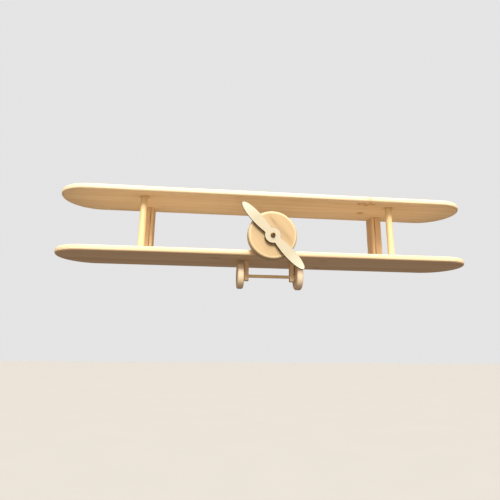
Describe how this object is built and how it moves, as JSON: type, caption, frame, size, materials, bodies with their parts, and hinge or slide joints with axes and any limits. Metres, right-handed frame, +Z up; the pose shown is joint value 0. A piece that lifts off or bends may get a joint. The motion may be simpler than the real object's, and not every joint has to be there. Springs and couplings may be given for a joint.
{
  "type": "biplane wall shelf",
  "caption": "Wooden wall shelf shaped like a biplane: round-ended boards as wings on dowel struts, a round cowl with a turning propeller, and wheels on an axle underneath.",
  "frame": {"origin": "midway between the two keyhole hangers, on the wall's face, at the height of the wall screws' centres", "axes": "+X to the right for someone facing the shelf, +Y into the wall, +Z up"},
  "size_m": [0.9144, 0.1696, 0.2048],
  "materials": {
    "pine_board": "bare pine, sanded, with a clear matt finish",
    "dowel": "bare birch dowel",
    "strut_wood": "bare pine block",
    "cowl_wood": "bare pine disc, rounded front edge",
    "birch_ply": "pale laser-cut birch plywood with scorched edges",
    "strip_wood": "bare pine strip",
    "wheel_wood": "turned birch",
    "dark_screw": "dark bronzed steel",
    "hanger_steel": "zinc plated"
  },
  "bodies": {
    "shelf": {"upper_wing": "pine_board", "lower_wing": "pine_board", "front_strut_left": "dowel", "front_strut_right": "dowel", "rear_strut_left": "strut_wood", "rear_strut_right": "strut_wood", "strut_pins": "dowel", "cowl_pins": "dowel", "block_pins": "dowel", "engine_cowl": "cowl_wood", "cowl_block": "strut_wood", "propeller_spacer": "dowel", "propeller_screw": "dark_screw", "gear_leg_left": "strip_wood", "gear_leg_right": "strip_wood", "hanger_plate_left": "hanger_steel", "hanger_plate_right": "hanger_steel", "hanger_screws": "hanger_steel"},
    "propeller": {"propeller": "birch_ply"},
    "wheelset": {"wheel_axle": "dowel", "wheel_left": "wheel_wood", "wheel_right": "wheel_wood"}
  },
  "joints": [
    {"name": "propeller_spin", "type": "hinge", "parent": "shelf", "child": "propeller", "pos_m": [-0.0036, -0.16368, -0.0566], "axis": [0, 1, 0], "continuous": true},
    {"name": "wheel_spin", "type": "hinge", "parent": "shelf", "child": "wheelset", "pos_m": [0.0014, -0.078, -0.1279], "axis": [1, 0, 0], "continuous": true}
  ]
}
